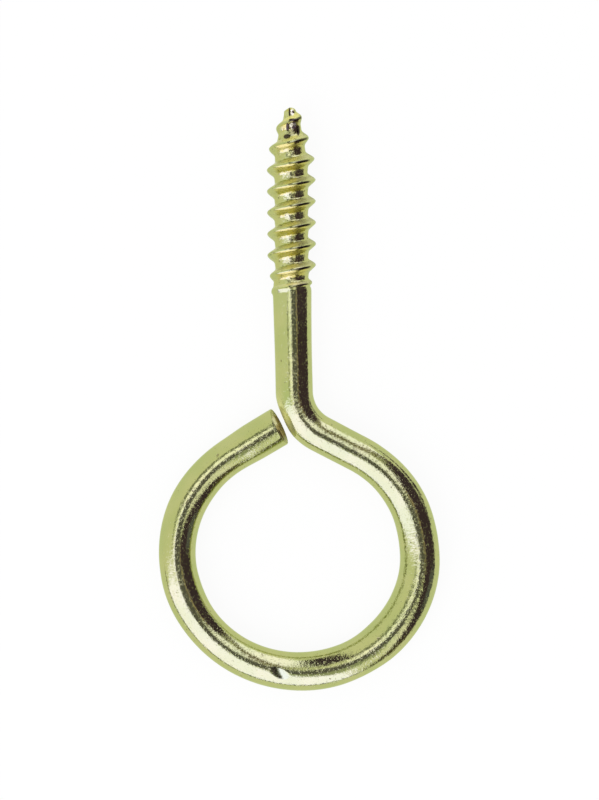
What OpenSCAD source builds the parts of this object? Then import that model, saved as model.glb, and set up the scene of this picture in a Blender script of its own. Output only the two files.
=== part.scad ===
// Screw eye: one length of round steel wire. A wood-screw thread is rolled on
// its pointed end, and the other end is bent sideways and round into an open
// eye, whose cut end stops short of the neck.
//
// The eye lies in the XY plane. The shank lies along Y with its point towards
// +Y, and the origin is on its axis, where the thread meets the plain wire.

/* [Wire] */
// Diameter of the round wire
wire_d = 4.0; // [3.7:0.1:4.3]
// How much thinner the wire is drawn where it is bent most, in the neck and the eye's sides
drawn = 0.02; // [0.02:0.01:0.08]

/* [Thread] */
// Length of the thread, from the plain wire to the tip of the point
thread_length = 19.25; // [17:0.25:24]
// Diameter over the crests of the thread
thread_d = 5.16; // [4.8:0.02:5.6]
// Diameter at the root of the thread, where the rolling has pressed the wire in
root_d = 3.54; // [3.2:0.02:3.6]
// Distance from one turn of the thread to the next
pitch = 2.27; // [2.1:0.01:2.6]
// Share of the pitch that the foot of the ridge takes up
ridge_share = 0.8; // [0.6:0.02:0.86]
// Length over which the wire tapers to its point
point_length = 6.8; // [5:0.2:8]
// Diameter of the blunt tip of the point
tip_d = 0.9; // [0.6:0.05:1]
// Height of the ridge near the tip, where it starts
tip_ridge = 0.36; // [0.2:0.02:0.5]
// Length over which the groove runs out into the plain wire
groove_runout = 1.3; // [0.8:0.1:2]
// Length over which the ridge dies away before the plain wire
ridge_runout = 1.9; // [1.4:0.1:3]
// Angle from the front at which the ridge leaves the plain wire
thread_start = 68; // [0:1:359]

/* [Shank and neck] */
// Length of plain wire between the thread and the neck
shank_length = 11.05; // [8:0.05:16]
// Radius of the neck's bend, at the middle of the wire
neck_radius = 5.17; // [4.6:0.01:5.8]
// Angle through which the neck turns the wire out to the side
neck_angle = 61; // [58:1:64]

/* [Eye] */
// Radius of the eye's two sides, at the middle of the wire
eye_radius = 12.2; // [11.4:0.1:13.4]
// Radius of the eye's flatter bottom, at the middle of the wire
bottom_radius = 13.2; // [12.6:0.1:13.8]
// Angle of the side that leads down from the neck
side_angle = 118.6; // [116:0.2:121]
// Angle of the bottom
bottom_angle = 92.4; // [90:0.2:94]
// Angle of the side that leads back up to the cut end
return_angle = 90.9; // [89:0.1:92.5]
// Gap between the cut end and the neck
end_gap = 0.58; // [0.4:0.02:1.2]

/* [Marks] */
// Lean of the cut face towards the front
cut_lean = 9; // [0:1:15]
// Turn of the cut face towards the shank
cut_turn = 4.7; // [-5:0.1:8]
// Depth of the nick in the front of the eye's bottom
nick_depth = 0.09; // [0.05:0.01:0.2]
// Radius of the rounded edge that struck the nick
nick_radius = 7; // [4:0.5:10]
// Angle along the bottom, from its start to the nick
nick_angle = 43; // [30:1:70]
// Angle round the wire, from its front to the nick, on the outside of the eye
nick_side = 8; // [0:1:20]

/* [Hidden] */

$fn = 96;

wire_r = wire_d / 2;
root_r = root_d / 2;
tip_r = tip_d / 2;
ridge = (thread_d - root_d) / 2;
// How far each bend reaches into the runs that it joins
bend_lap = 0.05;

// The straight run between the neck and the eye brings the middle of the eye
// onto the axis of the shank.
eye_entry = -90 + neck_angle;
bottom_entry = eye_entry - side_angle;
bottom_exit = bottom_entry - bottom_angle;
eye_exit = bottom_exit - return_angle;
side_shift = (bottom_radius - eye_radius) * (sin(bottom_entry) - sin(bottom_exit));
neck_run = (eye_radius * cos(neck_angle) - neck_radius * (1 - cos(neck_angle))
    - side_shift / 2) / sin(neck_angle);

// The tail runs straight on until the middle of its cut face is end_gap away
// from the outside of the neck's bend.
function ahead(at, heading, length) = at + length * [cos(heading), sin(heading)];
function to_right(heading) = [sin(heading), -cos(heading)];
function arc_end(at, heading, radius, angle) =
    at + radius * (to_right(heading) - to_right(heading - angle));
neck_centre = [neck_radius, -shank_length];
neck_end = neck_centre + neck_radius * to_right(eye_entry);
eye_start = ahead(neck_end, eye_entry, neck_run);
bottom_start = arc_end(eye_start, eye_entry, eye_radius, side_angle);
return_start = arc_end(bottom_start, bottom_entry, bottom_radius, bottom_angle);
tail_start = arc_end(return_start, bottom_exit, eye_radius, return_angle);
to_tail = tail_start - neck_centre;
along = to_tail * [cos(eye_exit), sin(eye_exit)];
tail_length = -along
    - sqrt(along * along - to_tail * to_tail + (neck_radius + wire_r + end_gap) ^ 2);

// Thread. The surface is a strip that winds round the axis with its long edges
// along the helix. It has STEPS points to a turn, and an edge at each of BAND,
// which are places across the pitch, counted from the crest.
STEPS = 28;
BAND = [for (place = [-0.625, -0.4, -0.25, -0.12, 0, 0.12, 0.25, 0.4]) place * ridge_share];
// How far the foot of the thread lies below the surface of the plain wire
sunk = 0.06;
// Distance from the tip within which the turns are drawn together
tip_squeeze = 0.9;
// The strip starts inside the shank, and ends where its turns have met at the tip
turns_in_shank = 0.75;
turns_at_tip = 1.2;
first_turn = -turns_in_shank;
last_turn = thread_length / pitch + turns_at_tip;
rows = ceil((last_turn - first_turn) * STEPS);

function ease(t) = let (c = max(0, min(1, t))) c * c * (3 - 2 * c);
// Radius of the grooved wire at a distance from the tip, with a round nose
function core(from_tip) =
    let (body = tip_r + (root_r - tip_r) * sin(90 * min(1, from_tip / point_length)),
         plain = ease(1 - (thread_length - from_tip) / groove_runout),
         nose = sqrt(1 - (1 - min(1, from_tip / tip_r)) ^ 2))
    (body + (wire_r - sunk - root_r) * plain) * nose;
// Height of the ridge at a distance from the tip
function crest(from_tip) =
    (tip_ridge + (ridge - tip_ridge) * ease(from_tip / point_length))
    * ease(from_tip / tip_d) * ease((thread_length - from_tip) / ridge_runout);
// Share of that height at a place across the pitch
function bump(place) = abs(place) < ridge_share / 2
    ? (1 + cos(360 * place / ridge_share)) / 2 : 0;
// Near the tip the turns are drawn together, so that none passes it
function squeezed(y) = let (limit = thread_length - tip_squeeze)
    y < limit ? y : thread_length - tip_squeeze * exp((limit - y) / tip_squeeze);
function thread_point(turn, place) =
    let (y = squeezed(pitch * (turn + place)),
         from_tip = thread_length - y,
         r = core(from_tip) + crest(from_tip) * bump(place),
         angle = 360 * turn + thread_start)
    [r * sin(angle), y, r * cos(angle)];

module thread() {
    bands = len(BAND);
    grid = [for (row = [0:rows], place = BAND) thread_point(first_turn + row / STEPS, place)];
    // What lies past the last edge of one turn is the first edge of the next
    function at(row, band) = band < bands ? row * bands + band : (row + STEPS) * bands;
    foot = len(grid);
    tip = foot + 1;
    points = concat(grid, [[0, pitch * first_turn, 0], [0, thread_length, 0]]);
    skin = [for (row = [0:rows - 1], band = [0:bands - 1])
        if (band < bands - 1 || row + STEPS < rows)
            each [[at(row, band), at(row, band + 1), at(row + 1, band)],
                  [at(row + 1, band), at(row, band + 1), at(row + 1, band + 1)]]];
    foot_edge = concat([for (row = [0:STEPS]) at(row, 0)],
        [for (band = [bands - 1:-1:1]) at(0, band)]);
    tip_edge = concat([for (band = [0:bands - 1]) at(rows, band)],
        [for (step = [1:STEPS]) at(rows - step, bands - 1)]);
    function fan(edge, apex) = [for (k = [0:len(edge) - 1])
        [edge[k], edge[(k + 1) % len(edge)], apex]];
    polyhedron(points, concat(skin, fan(foot_edge, foot), fan(tip_edge, tip)));
}

// Round wire that runs straight ahead, along +X
module straight(length) {
    rotate([0, 90, 0]) cylinder(r = wire_r, h = length);
    translate([length, 0, 0]) children();
}

// Round wire that bends in the XY plane: a positive angle turns it to the left
module bend(radius, angle) {
    lap = asin(bend_lap / radius);
    arc(radius, angle, wire_r - drawn / 2, lap);
    after_arc(radius, angle) children();
}

// The eye's flatter bottom, with the nick that a rounded edge has struck in it
module bottom() {
    difference() {
        arc(bottom_radius, -bottom_angle, wire_r, 0);
        after_arc(bottom_radius, -nick_angle) rotate([-nick_side, 0, 0])
            translate([0, 0, wire_r + nick_radius - nick_depth]) sphere(r = nick_radius);
    }
    after_arc(bottom_radius, -bottom_angle) children();
}

// An arc of round wire, which reaches on by an angle into the runs that it joins
module arc(radius, angle, r, lap) {
    translate([0, sign(angle) * radius, 0]) rotate([0, 0, min(0, angle) - sign(angle) * 90 - lap])
        rotate_extrude(angle = abs(angle) + 2 * lap) translate([radius, 0]) circle(r = r);
}

// The place and direction of the wire after such an arc
module after_arc(radius, angle) {
    translate([0, sign(angle) * radius, 0]) rotate([0, 0, angle])
        translate([0, -sign(angle) * radius, 0]) children();
}

// The last run of the wire, with its sheared face
module cut_tail(length) {
    spare = wire_d;
    difference() {
        straight(length + spare);
        translate([length, 0, 0]) rotate([0, -cut_lean, -cut_turn])
            translate([0, -wire_d, -wire_d]) cube([2 * spare, 2 * wire_d, 2 * wire_d]);
    }
}

module screw_eye() {
    color("darkkhaki") {
        thread();
        rotate([0, 0, -90])
            straight(shank_length) bend(neck_radius, neck_angle) straight(neck_run)
                bend(eye_radius, -side_angle) bottom()
                    bend(eye_radius, -return_angle) cut_tail(tail_length);
    }
}

screw_eye();
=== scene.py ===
# %% [markdown]
# # A brassed screw eye
# A screw eye is one length of round steel wire. One end has a wood-screw thread rolled on it,
# the other is bent into an open ring, and the whole is plated greenish gold. This lesson dresses
# the fixed CAD model of it: the sizes stay, and the surface becomes one fine, smooth skin with the
# small faults of mass-made hardware and a plated metal finish.

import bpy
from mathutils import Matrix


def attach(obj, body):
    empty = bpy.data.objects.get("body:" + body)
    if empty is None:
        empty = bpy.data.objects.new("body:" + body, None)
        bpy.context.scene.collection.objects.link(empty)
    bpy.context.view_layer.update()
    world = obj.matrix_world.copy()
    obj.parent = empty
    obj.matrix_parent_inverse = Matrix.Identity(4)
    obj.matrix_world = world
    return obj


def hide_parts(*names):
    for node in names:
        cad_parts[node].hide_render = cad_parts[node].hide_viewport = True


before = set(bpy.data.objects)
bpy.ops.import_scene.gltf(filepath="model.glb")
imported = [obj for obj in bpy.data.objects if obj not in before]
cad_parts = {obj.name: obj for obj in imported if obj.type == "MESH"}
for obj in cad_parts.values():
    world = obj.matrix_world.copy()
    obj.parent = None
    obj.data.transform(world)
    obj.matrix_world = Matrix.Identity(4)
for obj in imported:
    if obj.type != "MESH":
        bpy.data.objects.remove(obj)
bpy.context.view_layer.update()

# %% [markdown]
# ## Formulas made of nodes
# Both the shape and the finish are formulas. Blender's node editors can hold any formula, but a
# hundred wires are hard to read. A small class helps: it wraps one output of a node, and adding or
# multiplying two of them adds the Math node that does so. The same class works in Geometry Nodes
# and in shaders, because both use the same Math nodes.

# %% Adding a node
import math

import bpy

MM = 0.001


def add_node(tree, kind, settings=None, inputs=None, output=0):
    """Adds a node, first its settings, then the values and links of its sockets."""
    made = tree.nodes.new(kind)
    for name, value in (settings or {}).items():
        if name == "curve":
            draw_curve(made, value)
        else:
            setattr(made, name, value)
    for name, value in (inputs or {}).items():
        if isinstance(value, Term):
            tree.links.new(value.socket, made.inputs[name])
        else:
            made.inputs[name].default_value = value
    return Term(tree, made.outputs[output]) if made.outputs else made


def draw_curve(made, stops):
    """Draws the line of a Float Curve node through (place, value) points."""
    points = made.mapping.curves[0].points
    while len(points) < len(stops):
        points.new(0.5, 0.5)
    for point, (place, value) in zip(points, stops):
        point.location = (place, value)
    made.mapping.update()


print("one method adds every node")

# %% One class for node formulas
def math_node(operation, reflected=False):
    """A method that adds one kind of Math node. Reflected, it serves 1 - mask."""
    def method(term, *others):
        values = (*others, term) if reflected else (term, *others)
        return term.math(operation, *values)
    return method


class Term:
    """The output of a node, which can be used in a formula like a number."""

    def __init__(self, tree, socket):
        self.tree, self.socket = tree, socket

    def math(self, operation, *values):
        return add_node(self.tree, "ShaderNodeMath", {"operation": operation},
                        dict(enumerate(values)))

    __add__, __radd__ = math_node("ADD"), math_node("ADD", reflected=True)
    __sub__, __rsub__ = math_node("SUBTRACT"), math_node("SUBTRACT", reflected=True)
    __mul__, __rmul__ = math_node("MULTIPLY"), math_node("MULTIPLY", reflected=True)
    __truediv__, __rtruediv__ = math_node("DIVIDE"), math_node("DIVIDE", reflected=True)
    sin, cos, tan = math_node("SINE"), math_node("COSINE"), math_node("TANGENT")
    root, floor, size = math_node("SQRT"), math_node("FLOOR"), math_node("ABSOLUTE")
    above, below = math_node("MAXIMUM"), math_node("MINIMUM")
    over, power = math_node("GREATER_THAN"), math_node("POWER")

    def __neg__(self):
        return self * -1.0

    def log(self):
        return self.math("LOGARITHM", self, math.e)

    def within(self, low, high):
        return self.above(low).below(high)

    def ease(self, start, end):
        """0 before start, 1 after end, and a smooth step between them."""
        return add_node(self.tree, "ShaderNodeMapRange", {"interpolation_type": "SMOOTHSTEP"},
                        {0: self, 1: start, 2: end, 3: 0.0, 4: 1.0})

    def bell(self, middle, width):
        """1 at the middle, and 0 from width away."""
        return 1 - (self - middle).size().ease(0.0, width)


print("node formulas are ready")

# %% [markdown]
# ## The way the wire runs
# The wire was straight before it was bent, so the natural ruler is the distance along it: zero
# where the thread ends, negative along the thread, positive down the shank and round the eye.
# Each run is either straight or an arc, and the next starts where it stops. These are the CAD
# model's own sizes, so the new skin lies where its solid does.

# %% Sizes of the wire
wire_radius = 2.0 * MM
shank_length = 11.05 * MM
neck_radius, neck_angle = 5.17 * MM, math.radians(61)
eye_radius, bottom_radius = 12.2 * MM, 13.2 * MM
side_angle, bottom_angle, return_angle = (math.radians(a) for a in (118.6, 92.4, 90.9))
end_gap = 0.58 * MM

# The straight run after the neck brings the middle of the eye onto the axis of the shank
eye_entry = neck_angle - math.pi / 2
bottom_entry = eye_entry - side_angle
bottom_exit = bottom_entry - bottom_angle
side_shift = (bottom_radius - eye_radius) * (math.sin(bottom_entry) - math.sin(bottom_exit))
neck_run = (eye_radius * math.cos(neck_angle) - neck_radius * (1 - math.cos(neck_angle))
            - side_shift / 2) / math.sin(neck_angle)

# Each run: its length, and the angle by which it turns to the left
runs = [(shank_length, 0.0), (neck_radius * neck_angle, neck_angle), (neck_run, 0.0),
        (eye_radius * side_angle, -side_angle), (bottom_radius * bottom_angle, -bottom_angle),
        (eye_radius * return_angle, -return_angle)]
print("the eye starts", round(sum(length for length, turn in runs[:3]) / MM, 2), "mm down the wire")

# %% The last run
from mathutils import Vector


def walk(runs, heading=-math.pi / 2):
    """Where a walk along the runs ends, and in which direction."""
    x = y = 0.0
    for length, turn in runs:
        if turn:
            radius = length / turn
            x += radius * (math.sin(heading + turn) - math.sin(heading))
            y -= radius * (math.cos(heading + turn) - math.cos(heading))
        else:
            x += length * math.cos(heading)
            y += length * math.sin(heading)
        heading += turn
    return x, y, heading


# The tail runs on until the middle of its cut face is end_gap from the neck
tail_x, tail_y, tail_heading = walk(runs)
from_neck = Vector((tail_x - neck_radius, tail_y + shank_length))
ahead = from_neck.dot(Vector((math.cos(tail_heading), math.sin(tail_heading))))
face_to_neck = neck_radius + wire_radius + end_gap
tail_length = -ahead - math.sqrt(ahead ** 2 - from_neck.length_squared + face_to_neck ** 2)
runs.append((tail_length, 0.0))
wire_length = sum(length for length, turn in runs)
print("wire below the thread, in mm:", round(wire_length / MM, 2))

# %% [markdown]
# ## One skin for the whole wire
# The real thing has no joints, so neither has its mesh. It could be a swept curve with a screw
# modelled on top, but then the two would have to be stitched. Here Geometry Nodes bend a flat
# grid: each row of the grid becomes a ring round the wire, and each column a line along it. A
# formula gives the radius at every place, and that is all that the thread, the blunt point, the
# sheared end and the nick need. The last row shrinks to a point in the middle of the cut face.
#
# Every size is an input of the tree with a name. Some are the faults of the real making: the
# rolled thread leans a little from the shank, the roots are skewed, the dies leave a lip where
# they end, and the bending tool has dented the neck.

# %% The tree and its named sizes
wire_tree = bpy.data.node_groups.new("bent and threaded wire", "GeometryNodeTree")
wire_tree.interface.new_socket("Geometry", in_out="OUTPUT", socket_type="NodeSocketGeometry")
wire_sizes = {
    "Wire Radius": wire_radius, "Pinch": 0.17 * MM,
    "Thread Length": 19.25 * MM, "Thread Start": math.radians(68), "Pitch": 2.27 * MM,
    "Crest Radius": 2.60 * MM, "Root Radius": 1.79 * MM, "Root Skew": 0.04 * MM,
    "Ridge Back": 0.44, "Ridge Front": 0.375, "Ridge Sharpness": 1.3, "Last Ridge Loss": 0.57,
    "Point Length": 6.8 * MM, "Tip Radius": 0.48 * MM, "Tip Ridge": 0.36 * MM,
    "Tip Squeeze": 0.9 * MM, "Tip Kink": 0.1 * MM,
    "Thread Lean": 0.0195, "Thread Shift": 0.07 * MM, "Lip": 0.16 * MM, "Lip Shift": 0.6 * MM,
    "Tail Lean": math.radians(9), "Tail Turn": math.radians(4.7), "Edge Round": 0.1 * MM,
    "Nick Depth": 0.10 * MM, "Nick Round": 2.6 * MM, "Nick Side": math.radians(8),
    "Nick Turn": math.radians(35),
}
wire_sizes.update({f"Run {k} Length": length for k, (length, turn) in enumerate(runs)})
wire_sizes.update({f"Run {k} Turn": turn for k, (length, turn) in enumerate(runs) if turn})
identifiers = {name: wire_tree.interface.new_socket(name, in_out="INPUT",
                                                    socket_type="NodeSocketFloat").identifier
               for name in wire_sizes}
sizes_node = wire_tree.nodes.new("NodeGroupInput")
size = {name: Term(wire_tree, sizes_node.outputs[name]) for name in wire_sizes}
print("named sizes:", len(size))

# %% [markdown]
# ### Rows and columns
# The rows are close together on the thread, where the surface changes fast, and closest at the
# tip. Along the plain wire they are a sixth of a millimetre apart. A few more round off the edge
# of the cut, and the last ones cover its face.

# %% Row and column of every point
AROUND = 112
THREAD_ROWS, WIRE_ROWS, EDGE_ROWS, FACE_ROWS = 240, 540, 4, 9
EDGE_START = THREAD_ROWS + WIRE_ROWS
FACE_START = EDGE_START + EDGE_ROWS

index = add_node(wire_tree, "GeometryNodeInputIndex")
row = ((index + 0.5) / (AROUND + 1)).floor()
column = index - row * (AROUND + 1)
print("rings:", FACE_START + FACE_ROWS + 1, "points round:", AROUND)

# %% Place along the wire and angle round it
angle = column * (2 * math.pi / AROUND)
thread_row = row.below(THREAD_ROWS)
wire_row = (row - THREAD_ROWS).within(0, WIRE_ROWS)
edge_row = (row - EDGE_START).within(0, EDGE_ROWS)
face_row = (row - FACE_START).within(0, FACE_ROWS)

# The larger TIP_ROWS is, the less the rows are crowded at the tip
TIP_ROWS = 6
spacing = size["Thread Length"] * ((THREAD_ROWS + TIP_ROWS) / THREAD_ROWS ** 2)
from_tip = spacing * thread_row * thread_row / (thread_row + TIP_ROWS)
edge_angle = edge_row * (math.pi / 2 / EDGE_ROWS)
plain_length = size["Run 0 Length"]
for k in range(1, len(runs)):
    plain_length = plain_length + size[f"Run {k} Length"]
along = (from_tip - size["Thread Length"]
         + wire_row * (plain_length - size["Edge Round"]) / WIRE_ROWS
         + size["Edge Round"] * edge_angle.sin())
print("rows on the plain wire are", round(wire_length / WIRE_ROWS / MM, 2), "mm apart")

# %% [markdown]
# ### The rolled thread
# A wood-screw thread is rolled: dies press a groove into the wire, and the metal rises beside it,
# so that the crests stand higher than the plain wire. A right-hand thread is a ridge along the
# line where the height, in pitches, minus the angle, in turns, is a whole number. So the whole
# number nearest to that difference says which turn a place belongs to, and what is left over says
# where it lies across the ridge. Near the tip the turns crowd together, which a logarithm does.

# %% Which turn of the thread, and where across its ridge
# The distance from the end of the thread towards the tip
y = -along
to_tip = (size["Thread Length"] - y).above(0.02 * MM)
squeeze = size["Tip Squeeze"]
wound = y.below(size["Thread Length"] - squeeze) - squeeze * (to_tip / squeeze).below(1.0).log()
# Beside the shank the last turn lies a little further towards the tip, to make room for the lip
lip_shift = size["Lip Shift"] * (1 - y.ease(-0.3 * MM, 1.4 * MM))

# The angle is counted from the back of the wire, where the last groove fades out
from_back = (angle + math.pi) - 2 * math.pi * (angle + math.pi).over(2 * math.pi - 1e-4)
turns = ((wound - lip_shift) / size["Pitch"]
         - (from_back - math.pi - size["Thread Start"]) / (2 * math.pi))
nearest = (turns + 0.5).floor()
place = turns - nearest
tip_side = place.over(0.0)
is_last = 1 - nearest.over(0.5)
print("turns of thread:", round(wire_sizes["Thread Length"] / wire_sizes["Pitch"], 1))

# %% [markdown]
# The ridge is a cosine wave, made a little sharper by a power, and its foot reaches further on
# the side of the eye than on the side of the tip. The core under it is round-nosed at the tip and
# grows along a sine to its full size. At the shank the groove gets shallow and its last turn ends
# against a low lip, which the edge of the dies leaves.

# %% Height of the ridge and depth of the groove
back = size["Ridge Back"] * (1 - size["Last Ridge Loss"] * is_last)
reach = back + (size["Ridge Front"] - back) * tip_side
bump = (0.5 + 0.5 * (math.pi * (place / reach).within(-1, 1)).cos()).power(size["Ridge Sharpness"])

taper = (0.5 * math.pi * (to_tip / size["Point Length"]).below(1.0)).sin()
flat = 1 - (from_tip / size["Tip Radius"]).below(1.0)
nose = (1 - flat * flat).root()
body = size["Tip Radius"] + (size["Root Radius"] - size["Tip Radius"]) * taper
ridge = (size["Tip Ridge"] + (size["Crest Radius"] - size["Root Radius"] - size["Tip Ridge"])
         * to_tip.ease(0.0, size["Point Length"])) * to_tip.ease(0.0, 2 * size["Tip Radius"])

# The groove starts on the back of the wire and deepens along its first turn
in_groove = (turns.ease(0.05, 0.42) * y.ease(-0.2 * MM, 1.4 * MM)
             * (1 - (1 - turns.over(1.0)) * (1 - from_back.ease(0.2, 1.9))))
base = (size["Wire Radius"] + (body - size["Wire Radius"]) * in_groove
        - size["Root Skew"] * (2 * math.pi * place).sin() * in_groove)
low_crest = size["Wire Radius"] + size["Lip"] * (1 - is_last * (1 - from_back.ease(0.3, 1.3)))
crest = low_crest + (body + ridge - low_crest) * y.ease(-0.1 * MM, 2.9 * MM)
# No ridge before the first turn
ridge_there = bump * turns.over(-0.5)
thread_radius = (base + (crest - base) * ridge_there) * nose
print("height of a full ridge, in mm:",
      round((wire_sizes["Crest Radius"] - wire_sizes["Root Radius"]) / MM, 2))

# %% [markdown]
# ### The plain wire
# Drawn wire is no longer perfectly round once it has been bent. Three curves say how much thicker
# it is, how far it stands to one side, and how oval it is, along its length. It is never more than
# 0.15 mm, but the reflections show it, and a perfect tube would look like plastic. The bending
# tool has left a dent on the outside of the neck.

# %% Radius of the plain wire
CURVE_SPAN = 100
progress = along / (CURVE_SPAN * MM)
below_thread = along.ease(-0.6 * MM, 0.4 * MM)


def profile(stops):
    """A small length that changes along the wire, from (place, length) pairs in millimetres."""
    curve = [(place / CURVE_SPAN, 0.5 + length) for place, length in stops]
    drawn = add_node(wire_tree, "ShaderNodeFloatCurve", {"curve": curve}, {"Value": progress})
    return (drawn - 0.5) * MM * below_thread


thicker = profile([
    (0, 0.08), (3.5, 0.02), (8, -0.02), (11.5, -0.01), (15, -0.01), (17, -0.02), (22, -0.04),
    (28, 0.06), (34, 0.11), (44, 0.15), (48, 0.05), (51, 0.08), (56, 0.03), (62, -0.03),
    (66, -0.04), (70, 0.01), (73, -0.04), (80, -0.01), (86, -0.08), (90, 0.06), (100, 0.07)])
aside = profile([
    (0, 0.08), (5, 0.04), (11.5, 0.02), (15, -0.02), (22, -0.03), (26, 0.02), (29, 0.03),
    (32, -0.02), (37, 0.10), (44, 0.07), (50, 0.08), (56, 0.06), (62, 0.08), (66, 0.07),
    (70, 0.02), (78, -0.02), (85, -0.11), (89, -0.04), (100, -0.04)])
oval = profile([
    (0, 0.0), (26, 0.0), (32, 0.04), (37, 0.11), (42, 0.14), (46, 0.13), (52, 0.04), (60, 0.0),
    (66, 0.02), (70, 0.06), (78, 0.05), (84, 0.0), (100, 0.0)])
dent_along, dent_half = 13.1 * MM, 1.9 * MM
outer_side = (-angle.sin()).above(0.0)
plain_radius = (size["Wire Radius"] + thicker + oval * (2 * angle).sin()
                - size["Pinch"] * along.bell(dent_along, dent_half) * outer_side.power(3.0))
print("dent is", round(dent_along / MM, 1), "mm along the wire")

# %% [markdown]
# ### The nick and the cut end
# A tool has struck a small leaf-shaped nick in the front of the eye's bottom. A boolean could cut
# it, but it would break the even grid. Here the radius is simply kept below a trough, which is
# deepest along a line across the wire, a little turned, and rises as a parabola on both sides of
# it. The end of the wire was cropped: its face is flat and a little askew, with a slightly rounded
# edge.

# %% Nick, rounded edge and face
nick_along = sum(length for length, turn in runs[:4]) + bottom_radius * math.radians(43)
swung = angle - 2 * math.pi * angle.over(math.pi) - size["Nick Side"]
nick_x = ((along - nick_along) * size["Nick Turn"].cos()
          + plain_radius * swung * size["Nick Turn"].sin())
trough = plain_radius - size["Nick Depth"] + nick_x * nick_x / (2 * size["Nick Round"])
nicked = (plain_radius - trough / swung.cos().above(0.2)).above(0.0)
plain_radius = plain_radius - nicked

in_thread = y.over(-1.6 * MM)
radius = thread_radius * in_thread + plain_radius * (1 - in_thread)
radius = radius + (plain_radius - size["Wire Radius"]) * in_thread * (1 - y.over(0.0))
face = 1 - face_row / FACE_ROWS
radius = (radius - size["Edge Round"] * (1 - edge_angle.cos())) * face
print("nick is", round(nick_along / MM, 1), "mm along the wire")

# %% [markdown]
# ### Bending it
# Every ring is now set on the way that the wire runs. Each run adds its part of the way: the
# distance covered in it is the distance along the wire, kept between its start and its end, so a
# run that isn't reached yet adds nothing, and one that is behind adds all of itself.

# %% The middle of the wire at each ring
def tree_number(value):
    """A number as a node, so that a formula can start from it."""
    return add_node(wire_tree, "ShaderNodeValue") + value


heading = tree_number(-math.pi / 2)
now = heading
way_x, way_y = tree_number(0.0), tree_number(0.0)
start = tree_number(0.0)
for k, (length, turn) in enumerate(runs):
    done = (along - start).below(size[f"Run {k} Length"])
    if k:
        done = done.above(0.0)
    if turn:
        bend_radius = size[f"Run {k} Length"] / size[f"Run {k} Turn"]
        turned = done / bend_radius
        way_x = way_x + bend_radius * ((heading + turned).sin() - heading.sin())
        way_y = way_y - bend_radius * ((heading + turned).cos() - heading.cos())
        heading, now = heading + size[f"Run {k} Turn"], now + turned
    else:
        way_x, way_y = way_x + done * heading.cos(), way_y + done * heading.sin()
    start = start + size[f"Run {k} Length"]
print("runs:", len(runs))

# %% [markdown]
# A ring is square to the way, apart from the last ones, which the cut pushes forward on one side.
# On the thread the ring is moved sideways, because the thread leans and is a little bent near its
# tip.

# %% Place of every point
off_side, off_up = radius * angle.sin() + aside, radius * angle.cos()
skew = along.ease(wire_length - 4 * MM, wire_length - 0.12 * MM)
push = skew * (off_side * size["Tail Turn"].tan()
               - off_up * size["Tail Lean"].tan() / size["Tail Turn"].cos())
lean = (size["Thread Lean"] * y.above(0.0) + size["Thread Shift"] * y.ease(-0.3 * MM, 1.6 * MM)
        - size["Tip Kink"] * y.bell(15.2 * MM, 1.3 * MM))
at_x = way_x - now.sin() * off_side + now.cos() * push + lean
at_y = way_y + now.cos() * off_side + now.sin() * push
print("tip stands", round(wire_sizes["Thread Lean"] * wire_sizes["Thread Length"] / MM
                          + wire_sizes["Thread Shift"] / MM, 2), "mm aside")

# %% [markdown]
# ### From grid to mesh
# The grid is closed by merging its first and last columns and the points at both ends. Some facts
# about each point are kept for the finish, as attributes: where it was on the straight wire, how
# high it is on the thread and which flank it lies on, and whether it is on the cut face or in the
# nick, whose two halves catch different light.

# %% What the finish has to know
def store(geometry, name, kind, value):
    """Keeps a value with each point of the mesh."""
    return add_node(wire_tree, "GeometryNodeStoreNamedAttribute",
                    {"data_type": kind, "domain": "POINT"},
                    {"Geometry": geometry, "Name": name, "Value": value})


def combine(x, y, z):
    return add_node(wire_tree, "ShaderNodeCombineXYZ", inputs={0: x, 1: y, 2: z})


skin = add_node(wire_tree, "GeometryNodeMeshGrid", inputs={
    "Size X": 1.0, "Size Y": 1.0, "Vertices X": FACE_START + FACE_ROWS + 1,
    "Vertices Y": AROUND + 1})
skin = store(skin, "straight", "FLOAT_VECTOR",
             combine(radius * angle.sin(), radius * angle.cos(), along))
flank = 4 * bump * (1 - bump)
struck_here = nicked.ease(0.0, 0.012 * MM)
facts = {
    "rolled": y.ease(-0.2 * MM, 0.5 * MM), "crest": ridge_there,
    "towards_tip": flank * tip_side, "towards_eye": flank * (1 - tip_side),
    "front": angle.cos(), "left": angle.sin(),
    "sheared": (row - FACE_START + 2).ease(0.0, 2.0),
    "struck": struck_here, "struck_before": struck_here * nick_x.ease(-0.08 * MM, 0.04 * MM),
}
for name, value in facts.items():
    skin = store(skin, name, "FLOAT", value)
print("facts kept with each point:", ", ".join(facts))

# %% Bend and close the skin
plating = bpy.data.materials.new("greenish brass plating")
skin = add_node(wire_tree, "GeometryNodeSetPosition", inputs={
    "Geometry": skin, "Position": combine(at_x, at_y, off_up)})
skin = add_node(wire_tree, "GeometryNodeMergeByDistance", inputs={
    "Geometry": skin, "Distance": 0.001 * MM})
skin = add_node(wire_tree, "GeometryNodeSetShadeSmooth", inputs={"Geometry": skin})
skin = add_node(wire_tree, "GeometryNodeRealizeInstances", inputs={"Geometry": skin})
skin = add_node(wire_tree, "GeometryNodeSetMaterial",
                inputs={"Geometry": skin, "Material": plating})
group_output = wire_tree.nodes.new("NodeGroupOutput")
wire_tree.links.new(skin.socket, group_output.inputs["Geometry"])
print("nodes in the tree:", len(wire_tree.nodes))

# %% [markdown]
# The tree runs as a modifier on an empty carrier. Its sizes are set by the sockets' identifiers,
# the result is copied into a mesh of its own, and the carrier is thrown away. The mesh stays where
# the tree put it, so the object needs no place or turn of its own.

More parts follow.
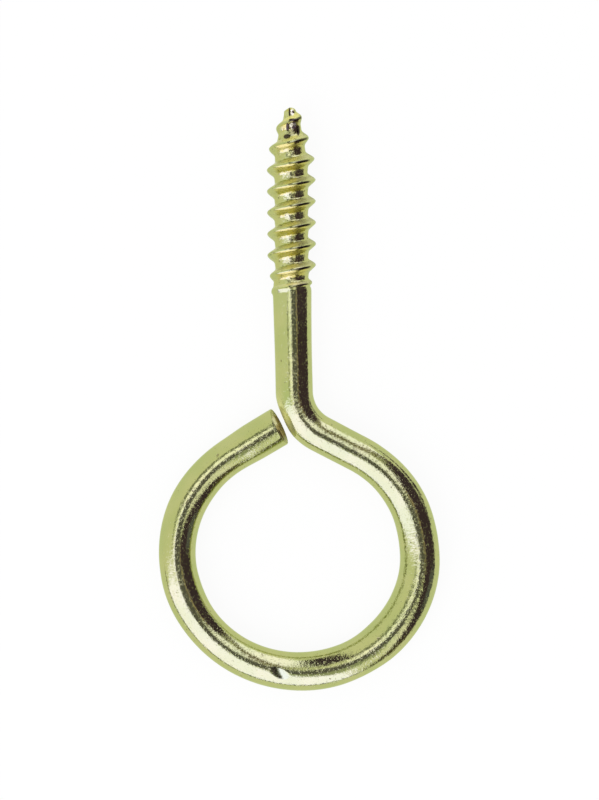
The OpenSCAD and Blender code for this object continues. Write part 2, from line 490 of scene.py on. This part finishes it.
# %% Run the tree and keep a plain mesh
carrier = bpy.data.objects.new("carrier", bpy.data.meshes.new("carrier"))
bpy.context.scene.collection.objects.link(carrier)
modifier = carrier.modifiers.new("wire", "NODES")
modifier.node_group = wire_tree
for name, value in wire_sizes.items():
    modifier[identifiers[name]] = value
evaluated = carrier.evaluated_get(bpy.context.evaluated_depsgraph_get())
wire_mesh = bpy.data.meshes.new_from_object(evaluated)
carrier.modifiers.clear()
bpy.data.objects.remove(carrier)
wire_mesh.name = "plated_wire"
plated_wire = bpy.data.objects.new("plated_wire", wire_mesh)
bpy.context.scene.collection.objects.link(plated_wire)
print("points:", len(wire_mesh.vertices), "faces:", len(wire_mesh.polygons))

# %% Check that it is closed and faces outwards
import bmesh

check = bmesh.new()
check.from_mesh(wire_mesh)
volume = check.calc_volume(signed=True)
open_edges = sum(1 for edge in check.edges if len(edge.link_faces) != 2)
if volume < 0:
    bmesh.ops.reverse_faces(check, faces=check.faces)
    check.to_mesh(wire_mesh)
check.free()
print("volume in mm3:", round(abs(volume) / MM ** 3, 1), "turned:", volume < 0,
      "open edges:", open_edges)

# %% [markdown]
# ## The plating
# Brassed steel is bright, greenish gold and never quite even: the plating is thicker in some
# places than others, it shows the fine grain of the steel, the long scratches of the drawing die,
# and small pits with something dark in them. The metal's colour, its roughness and a little bump
# carry all of that. An image could hold it too, but patterns made of nodes stay sharp at any
# size. They are laid out on the straight wire, so the scratches follow it round the bends.

# %% Patterns
plating.use_nodes = True
shader = plating.node_tree
shader.nodes.clear()


def attribute(name, output="Fac"):
    return add_node(shader, "ShaderNodeAttribute", {"attribute_name": name}, output=output)


def stretched(place, scale):
    """The place, scaled differently across the wire and along it."""
    return add_node(shader, "ShaderNodeVectorMath", {"operation": "MULTIPLY"},
                    {0: place, 1: scale})


def noise(place, per_mm, detail=2.0, roughness=0.5):
    """Noise with so many waves to a millimetre."""
    return add_node(shader, "ShaderNodeTexNoise", {"noise_dimensions": "3D"},
                    {"Vector": place, "Scale": per_mm / MM, "Detail": detail,
                     "Roughness": roughness})


straight = attribute("straight", "Vector")
# Turned, so that the noise shows no rows along the wire
turned = add_node(shader, "ShaderNodeMapping",
                  inputs={"Vector": straight, "Rotation": (0.9, 0.5, 1.3)})

clouds = noise(turned, 0.35, 3.0).ease(0.35, 0.68)
long_clouds = noise(stretched(straight, (1.0, 1.0, 0.12)), 0.9).ease(0.3, 0.7)
patches = noise(turned, 1.5, 3.0).ease(0.35, 0.6)
mottle = noise(turned, 2.3, 1.0)
curls = noise(turned, 3.3)
grain = noise(turned, 5.2, 2.0, 0.6)
scratches = noise(stretched(straight, (1.0, 1.0, 0.04)), 6.5, 2.0, 0.6)
dimples = noise(turned, 4.6, 1.0).ease(0.60, 0.72)
dust = noise(stretched(straight, (1.0, 1.0, 0.5)), 7.0, 1.0).ease(0.62, 0.76)
# Pits and specks are rare: two noises have to be high at the same place
pits = noise(turned, 2.6, 1.0).ease(0.71, 0.78) * noise(turned, 0.5, 1.0).ease(0.45, 0.6)
specks = noise(turned, 3.5, 1.0).ease(0.66, 0.72) * noise(turned, 0.9, 1.0).ease(0.42, 0.55)
print("nodes for the patterns:", len(shader.nodes))

# %% [markdown]
# ### Where the plating differs
# Some marks lie in set places. The flank of the ridge that faces the tip is dull, and painted light
# where it faces up; the flank that faces the eye is painted bright yellow where it faces up: both
# are painted reflections. A painted dark reflection runs along the crest, painted pale reflections
# lie in the roots, and the outside of the neck is worn matt and painted light, to lift the shade of
# the gap
# to the cut end. Each of these is a mask: 1 in its place and 0 elsewhere.

# %% Masks
across, facing, down = (
    add_node(shader, "ShaderNodeSeparateXYZ", inputs={0: straight}, output=k) for k in range(3))
rolled, crest_line = attribute("rolled"), attribute("crest")
sheared, front, left = attribute("sheared"), attribute("front"), attribute("left")

uphill = attribute("towards_tip").ease(0.2, 0.8) * rolled
downhill = attribute("towards_eye").ease(0.01, 0.2) * rolled
towards_root = attribute("towards_eye").ease(0.7, 1.0) * rolled
# Painted dark reflection: a dark line along the crests
crest_dark_reflection = (crest_line.ease(0.90, 0.98) * across.ease(0.0 * MM, 0.9 * MM)
              * (1 - across.ease(1.6 * MM, 2.1 * MM)) * rolled)
# Painted reflection: pale patches in the roots
root_reflection = (1 - crest_line).ease(0.45, 0.85) * across.bell(-0.6 * MM, 0.85 * MM) * rolled
right = -left
mark_at, streak_at, neck_half = 13.2 * MM, 11.6 * MM, 2.6 * MM
# A worn matt patch on the outside of the neck, also painted light to lift the shade of the gap to
# the cut end
neck_wear_and_light = down.bell(mark_at, neck_half) * right.ease(0.35, 0.95)
neck_streak = down.bell(streak_at, neck_half) * right.bell(0.42, 0.4)
# On the cut face: its two sides, painted light, a dark brown patch on the right of its top, and a
# painted cream reflection
face_ends_painted_light = sheared * across.size().ease(0.9 * MM, 1.6 * MM)
face_dark_patch = sheared * (across.bell(-0.9 * MM, 0.9 * MM).ease(0.0, 0.4)
                       * facing.ease(0.5 * MM, 1.1 * MM))
face_painted_reflection = sheared * across.bell(0.75 * MM, 0.7 * MM).ease(0.0, 0.6) * facing.ease(0.0, 0.5 * MM)
print("nodes with the masks:", len(shader.nodes))

# %% [markdown]
# ### Colours
# A metal's base colour tints what it mirrors, so the greens here are darker than the wire looks.
# Each line of the next cell lays one colour over those before it, as far as its mask says.

# %% The main colours
def blend(factor, first, second):
    """A colour between two colours."""
    return add_node(shader, "ShaderNodeMix", {"data_type": "RGBA"},
                    {"Factor": factor, 6: first, 7: second}, output=2)


green_gold, pale_gold = (0.44, 0.49, 0.175, 1.0), (0.49, 0.515, 0.20, 1.0)
yellow_gold, bright_gold = (0.52, 0.49, 0.13, 1.0), (0.52, 0.475, 0.09, 1.0)
light_gold, warm_gold = (0.66, 0.66, 0.30, 1.0), (0.78, 0.74, 0.32, 1.0)
reflection_gold, white_gold = (0.60, 0.65, 0.34, 1.0), (0.46, 0.52, 0.23, 1.0)
deep_green, pale_olive = (0.40, 0.48, 0.15, 1.0), (0.76, 0.80, 0.38, 1.0)
straw, cream = (0.90, 0.84, 0.22, 1.0), (0.86, 0.84, 0.52, 1.0)
sheared_brass = (0.52, 0.44, 0.17, 1.0)
brown, dark_brown = (0.12, 0.075, 0.03, 1.0), (0.035, 0.02, 0.012, 1.0)

colour = blend(clouds, green_gold, pale_gold)
colour = blend(0.3 * rolled * (1 - crest_line) + 0.15 * long_clouds, colour, yellow_gold)
# Painted reflections where the flanks face up: bright yellow on the eye side, light gold and straw
# on the tip side
colour = blend(0.9 * downhill * front.ease(0.55, 0.88), colour, bright_gold)
colour = blend(0.9 * uphill * front.ease(0.0, 0.6), colour, light_gold)
colour = blend(0.8 * uphill * across.bell(0.1 * MM, 1.5 * MM), colour, straw)
# Painted reflection: pale patches in the roots
colour = blend(0.4 * root_reflection * curls.ease(0.38, 0.55), colour, reflection_gold)
colour = blend(0.8 * specks * rolled, colour, dark_brown)
# Painted dark reflection along the crests
colour = blend(0.9 * crest_dark_reflection * front.ease(0.1, 0.5), colour, dark_brown)
colour = blend(0.75 * pits, colour, brown)
# Painted light on the worn neck, lifting the shade of the gap to the cut end
colour = blend(0.6 * neck_wear_and_light, colour, warm_gold)
colour = blend(0.7 * neck_streak, colour, deep_green)
colour = blend(0.25 * neck_wear_and_light * patches, colour, brown)
print("nodes with the main colours:", len(shader.nodes))

# %% [markdown]
# The front of the point carries painted reflections: dark brown and cream spots, where it mirrors
# dark and bright parts of the room. Its spots are listed one by one, each with its place, its half
# width and height, and its colour, and the noise frays their edges. The cut face and the nick lie
# over all the rest.

# %% Painted spots on the point, cut face and nick
# Painted reflections: dark brown and cream spots on the front of the point
tip_reflection_spots = [
    (-0.13, 18.75, 0.13, 0.75, dark_brown), (0.17, 18.7, 0.26, 0.65, cream),
    (-0.33, 17.1, 0.24, 0.62, dark_brown), (0.78, 16.75, 0.25, 0.85, dark_brown),
    (0.22, 17.25, 0.5, 0.5, cream), (-0.4, 16.1, 0.55, 0.35, dark_brown),
    (0.2, 17.85, 0.6, 0.22, dark_brown)]
up = -down
for spot_across, spot_up, half_width, half_height, spot_colour in tip_reflection_spots:
    spot = (across.bell(spot_across * MM, half_width * MM)
            * up.bell(spot_up * MM, half_height * MM) * front.ease(0.0, 0.3))
    frayed = (spot + 0.35 * (curls - 0.5)).ease(0.12, 0.35)
    colour = blend(0.95 * frayed, colour, spot_colour)

colour = blend(sheared, colour, sheared_brass)
# Painted light: the two sides of the cut face are pale
colour = blend(face_ends_painted_light, colour, pale_olive)
colour = blend(0.4 * sheared * patches, colour, brown)
colour = blend(0.85 * face_dark_patch, colour, dark_brown)
# Painted reflection: a cream patch on the cut face
colour = blend(face_painted_reflection, colour, cream)
# The nick is painted paler and one half dark brown: painted light and painted shade on its two
# halves
colour = blend(0.9 * attribute("struck"), colour, white_gold)
colour = blend(0.9 * attribute("struck_before") * (0.7 + 0.3 * patches), colour, dark_brown)
print("painted_spots on the point:", len(tip_reflection_spots))

# %% [markdown]
# ### Gloss, relief and metal
# The plain wire is nearly a mirror. The rubbed flank is dull, and so is the cut. The relief is
# fine: grain and mottle all over, stronger where the tool rubbed the wire, scratches along it,
# and curls of torn metal in the thread's roots. Dust, the matt neck and the cut face show less
# metal and more plain colour. A thin clear coat stands for the lacquer.

# %% Surface of the wire
roughness = (0.06 + 0.04 * clouds + 0.06 * (grain - 0.5) + 0.5 * sheared + 0.05 * rolled
             + 0.4 * uphill + 0.2 * towards_root + 0.12 * dimples)
metal = (1 - sheared) * (1 - 0.85 * neck_wear_and_light) * (1 - 0.2 * dust)
# Rubbed zones: the eye's start, its end, and the neck
rubbed = (down.bell(38 * MM, 15 * MM) + 0.25 * down.bell(90 * MM, 18 * MM)
          + 0.9 * down.bell(12.6 * MM, 1.8 * MM))
relief = ((0.32 + 0.3 * rubbed) * grain + (0.3 + 0.7 * rubbed) * mottle + 0.16 * scratches
          - 0.25 * dimples - 0.8 * pits + 1.4 * rolled * (1 - crest_line) * curls)
bumped = add_node(shader, "ShaderNodeBump", inputs={
    "Strength": 1.0, "Distance": 0.03 * MM, "Height": relief})
surface = add_node(shader, "ShaderNodeBsdfPrincipled", inputs={
    "Base Color": colour, "Metallic": metal, "Roughness": roughness, "Normal": bumped,
    "Specular IOR Level": 0.0, "Specular Tint": (0.8, 0.85, 0.6, 1.0),
    "Coat Weight": 0.25 * (1 - sheared), "Coat Roughness": 0.08})
add_node(shader, "ShaderNodeOutputMaterial", inputs={"Surface": surface})
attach(plated_wire, "root")
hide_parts("screw_eye")
print("nodes in the plating:", len(shader.nodes))

# %% [markdown]
# ## The floor
# The screw eye lies flat on a pale floor. It touches it with the bottom of the eye and with a
# crest of the thread, so the floor falls a little towards the point. The floor is white paint
# that takes the shadow, mixed with an even white for what the camera and the metal see.

# %% Floor
# Height of the floor under two places on the Y axis, as (y, z)
under_eye = (-40.8 * MM, -2.0 * MM)
under_thread = (3.04 * MM, -2.56 * MM)
floor_slope = (under_thread[1] - under_eye[1]) / (under_thread[0] - under_eye[0])
FLOOR_HALF = 3.0
corners = [(-FLOOR_HALF, -FLOOR_HALF), (FLOOR_HALF, -FLOOR_HALF), (FLOOR_HALF, FLOOR_HALF),
           (-FLOOR_HALF, FLOOR_HALF)]
floor_mesh = bpy.data.meshes.new("floor")
floor_mesh.from_pydata(
    [(x, y, under_thread[1] + floor_slope * (y - under_thread[0])) for x, y in corners],
    [], [(0, 1, 2, 3)])
floor = bpy.data.objects.new("floor", floor_mesh)
bpy.context.scene.collection.objects.link(floor)
print("floor falls", round(-math.degrees(math.atan(floor_slope)), 2), "degrees towards the point")

# %% White paint for the floor
EVEN_SHARE = 0.92
paint = bpy.data.materials.new("white floor")
paint.use_nodes = True
paint_tree = paint.node_tree
paint_tree.nodes.clear()
light_path = paint_tree.nodes.new("ShaderNodeLightPath")
camera_ray, glossy_ray, through_ray = (
    Term(paint_tree, light_path.outputs[f"Is {kind} Ray"])
    for kind in ("Camera", "Glossy", "Transmission"))
seen = camera_ray.above(glossy_ray).above(through_ray)
matt = add_node(paint_tree, "ShaderNodeBsdfDiffuse", inputs={"Color": (0.82, 0.82, 0.82, 1)})
even = add_node(paint_tree, "ShaderNodeEmission", inputs={"Color": (1, 1, 1, 1), "Strength": 1.0})
both = add_node(paint_tree, "ShaderNodeMixShader",
                inputs={0: EVEN_SHARE * seen, 1: matt, 2: even})
add_node(paint_tree, "ShaderNodeOutputMaterial", inputs={"Surface": both})
floor_mesh.materials.append(paint)
print("share of even white that is seen:", EVEN_SHARE)

# %% [markdown]
# ## The studio
# Metal shows what stands round it, so most of its look is the room. This one is a white tent.
# Round the object stand bright windows and dark cards, and each of them draws one light or dark
# line along the wire. They are pieces of a dome, and only reflections see them, so they don't
# shade the floor or stand in the picture.

# %% World
world = bpy.data.worlds.new("white tent")
bpy.context.scene.world = world
world.use_nodes = True
world.node_tree.nodes["Background"].inputs["Color"].default_value = (1, 1, 1, 1)
world.node_tree.nodes["Background"].inputs["Strength"].default_value = 1.0
print("world:", world.name)

# %% Points on a dome
DOME = 0.40
# A card that lies before another stands a little nearer
NEARER, NEAREST = DOME - 0.01, DOME - 0.02
dome_middle = Vector((0.0, -12 * MM, 0.0))


def on_dome(x, y, radius):
    """The point of the dome at so many degrees from straight up, to the right and ahead."""
    tilt, turn = math.radians(math.hypot(x, y)), math.atan2(y, x)
    return dome_middle + radius * Vector((
        math.sin(tilt) * math.cos(turn), math.sin(tilt) * math.sin(turn), math.cos(tilt)))


def arc(tilt, start, end, steps=24):
    """Points at one tilt, from one direction round to another, in degrees."""
    directions = [math.radians(start + (end - start) * k / steps) for k in range(steps + 1)]
    return [(tilt * math.cos(direction), tilt * math.sin(direction)) for direction in directions]


print("dome radius in m:", DOME)

# %% A helper for the cards
# How many times the triangles of a card are split in four, so that it follows the dome
SPLITS = 4
cards = []


def card(name, outline, colour, strength, radius=DOME, height=None):
    """A glowing piece of the dome, or at a height a flat one with its outline in millimetres."""
    shape = bmesh.new()
    shape.faces.new([shape.verts.new((x, y, 0)) for x, y in outline])
    bmesh.ops.triangulate(shape, faces=shape.faces)
    for _ in range(SPLITS if height is None else 0):
        bmesh.ops.subdivide_edges(shape, edges=shape.edges, cuts=1, use_grid_fill=True)
    for vertex in shape.verts:
        x, y, _ = vertex.co
        vertex.co = on_dome(x, y, radius) if height is None else (x * MM, y * MM, height)
    mesh = bpy.data.meshes.new(name)
    shape.to_mesh(mesh)
    shape.free()
    made = bpy.data.objects.new(name, mesh)
    bpy.context.scene.collection.objects.link(made)
    material = bpy.data.materials.new(name)
    material.use_nodes = True
    material.node_tree.nodes.clear()
    glow = add_node(material.node_tree, "ShaderNodeEmission",
                    inputs={"Color": (*colour, 1), "Strength": strength})
    add_node(material.node_tree, "ShaderNodeOutputMaterial", inputs={"Surface": glow})
    mesh.materials.append(material)
    made.visible_camera = made.visible_diffuse = made.visible_shadow = False
    cards.append(name)


print("splits of each card:", SPLITS)

# %% [markdown]
# ### Windows
# The large window at the lower left draws the bright line along most of the wire, and the window
# at the top right the second one. Their light is a little blue, like daylight, which is why the
# gold looks greenish white in them.

# %% Bright cards
daylight, evening = (0.53, 0.495, 1.0), (0.642, 0.606, 1.0)
haze, arm_light = (0.83, 0.8, 1.0), (0.62, 0.59, 0.85)
card("window", [
    (-9, -1), (-22, -6), (-42, -7), (-60, -12), (-76, -21), (-84, -30), (-70, -56), (-45, -78),
    (-20, -88), (0, -90), (18, -88), (31, -84), (22, -64), (16, -46), (11, -38), (6, -38),
    (0, -33), (-6, -23), (-8.5, -16)], daylight, 3.6)
card("window_arm", [
    (-9, -1), (-20, -1), (-21, 2.5), (-27, 6), (-27, 12), (-24, 17), (-18, 20), (-10, 18.4),
    (-6, 12), (-3, 7), (-4, 4), (-6, 1)], arm_light, 2.8)
card("high_window", [
    (0.6, 24), (0.6, 70), (12, 76), (30, 74), (42, 66), (50, 58), (36, 48.5), (24, 41), (12, 33),
    (3, 23)], evening, 2.76)
card("low_patch", [
    (4, 2.5), (16, 10), (24, 17), (26, 24), (22, 28), (15, 24), (9, 17), (4, 6)],
    evening, 2.6, NEARER)
card("pale_strip", [
    (10, -6), (25, -16), (40, -38), (36, -60), (30, -56), (22, -38), (12, -20)], haze, 1.5)
print("bright cards:", ", ".join(cards))

# %% [markdown]
# ### Dark cards
# Where the tent is open the wire mirrors the dark room: to the right, in a narrow gap at the top,
# and straight above, where the lens looks in. Tan and brown bars are the tent's poles. A skirting
# round the floor on the left draws the thin line between the wire's rim and the window.

# %% Dark cards
shade, dusk, lens = (0.95, 1.0, 0.95), (0.8, 0.5, 1.0), (0.78, 0.72, 1.0)
tan, glimmer = (1.0, 0.8, 0.7), (0.65, 0.66, 1.0)
card("arm_edge", [
    (-26, -3), (-26, 2), (-30, 7), (-31, 13), (-27, 20), (-20, 24), (-11, 22.5), (-11, 26),
    (-22, 28), (-30, 23), (-35, 15), (-34, 6), (-30, 1), (-30, -3)], shade, 0.3)
card("brown_bar", [
    (0.5, 6), (4, 6), (9, 17), (15, 24), (23, 30), (36, 42), (54, 55), (50, 58), (35, 48.5),
    (24, 41), (11, 32.5), (1, 21)], tan, 0.25, NEARER)
card("tan_bar", [(24, -6), (27, -6), (28, 6), (26, 14), (21, 12), (23, 5)], tan, 0.7, NEARER)
card("top_flag", [
    (-13, 20), (-3, 20), (-1, 45), (-2, 76), (-20, 77), (-18, 55), (-16, 38)], dusk, 0.08)
card("right_flag", [
    (19, 4), (16, 9), (20, 16), (30, 33), (53, 57), (66, 52), (76, 40), (86, 24), (91, 8),
    (91, -10), (89, -20), (76, -46), (62, -66), (42, -79), (34, -64), (36, -53), (36, -32),
    (25, -14), (20, -4)], dusk, 0.09)
card("dark_table", [
    (22, -80), (22, 10), (40, 30), (150, 90), (380, 60), (380, -160), (120, -120)],
    dusk, 0.09, height=-2.3 * MM)
card("east_glow", [(62, -9), (86, -13), (76, -42), (55, -30)], glimmer, 0.24, NEARER)
card("low_flag", [
    (29, -62), (38, -52), (46, -48), (66, -62), (60, -68), (38, -81)], tan, 0.12, NEARER)
card("camera_flag", [
    (23, 0), (21, -7), (17, -11), (13, -15), (9, -18), (0, -19), (-7, -15), (-9.5, -8), (-9, -1),
    (-6, 1), (-4, 4), (-3, 7), (0, 7), (3, 5), (10, 6), (18, 5)], lens, 0.2, NEARER)
card("flag_edge", [
    (-6, -19), (0, -19), (9, -18), (13, -22), (13, -36), (8, -40), (0, -34), (-6, -23)],
    shade, 0.5, NEARER)
card("skirting", arc(85.2, 190, 305) + arc(91.0, 305, 190), shade, 0.12, NEAREST)
print("cards in all:", len(cards))

# %% [markdown]
# ### Lamp
# The world alone would light the floor evenly from all sides. One large soft lamp at the lower
# left, where the large window stands, gives the shadow a direction. Reflections don't see it,
# because they see the window.

# %% Soft lamp
lamp = bpy.data.objects.new("soft lamp", bpy.data.lights.new("soft lamp", "AREA"))
bpy.context.scene.collection.objects.link(lamp)
lamp.data.size = 0.35
lamp.data.energy = 0.9
lamp.visible_glossy = False
lamp.location = dome_middle + Vector((-0.20, -0.22, 0.35))
lamp.rotation_euler = (dome_middle - lamp.location).to_track_quat("-Z", "Y").to_euler()
print("lamp is", round((dome_middle - lamp.location).length, 2), "m away")

# %% [markdown]
# ## The camera
# The screw eye is seen from straight above with a long lens, so that it shows next to no
# perspective. The camera is turned by a degree and a half.

# %% Camera
VIEW_HEIGHT = 85.25 * MM
CAMERA_DISTANCE = 0.5
CAMERA_TURN = math.radians(-1.52)
look_at = Vector((0.555 * MM, -11.94 * MM, 0.0))
camera = bpy.data.objects.new("camera", bpy.data.cameras.new("camera"))
bpy.context.scene.collection.objects.link(camera)
camera.location = look_at + Vector((0, 0, CAMERA_DISTANCE))
camera.rotation_euler = (0, 0, CAMERA_TURN)
camera.data.lens = camera.data.sensor_width * CAMERA_DISTANCE / VIEW_HEIGHT
camera.data.clip_end = 10
bpy.context.scene.camera = camera
bpy.context.scene.view_settings.view_transform = "Standard"
print("lens in mm:", round(camera.data.lens, 1))
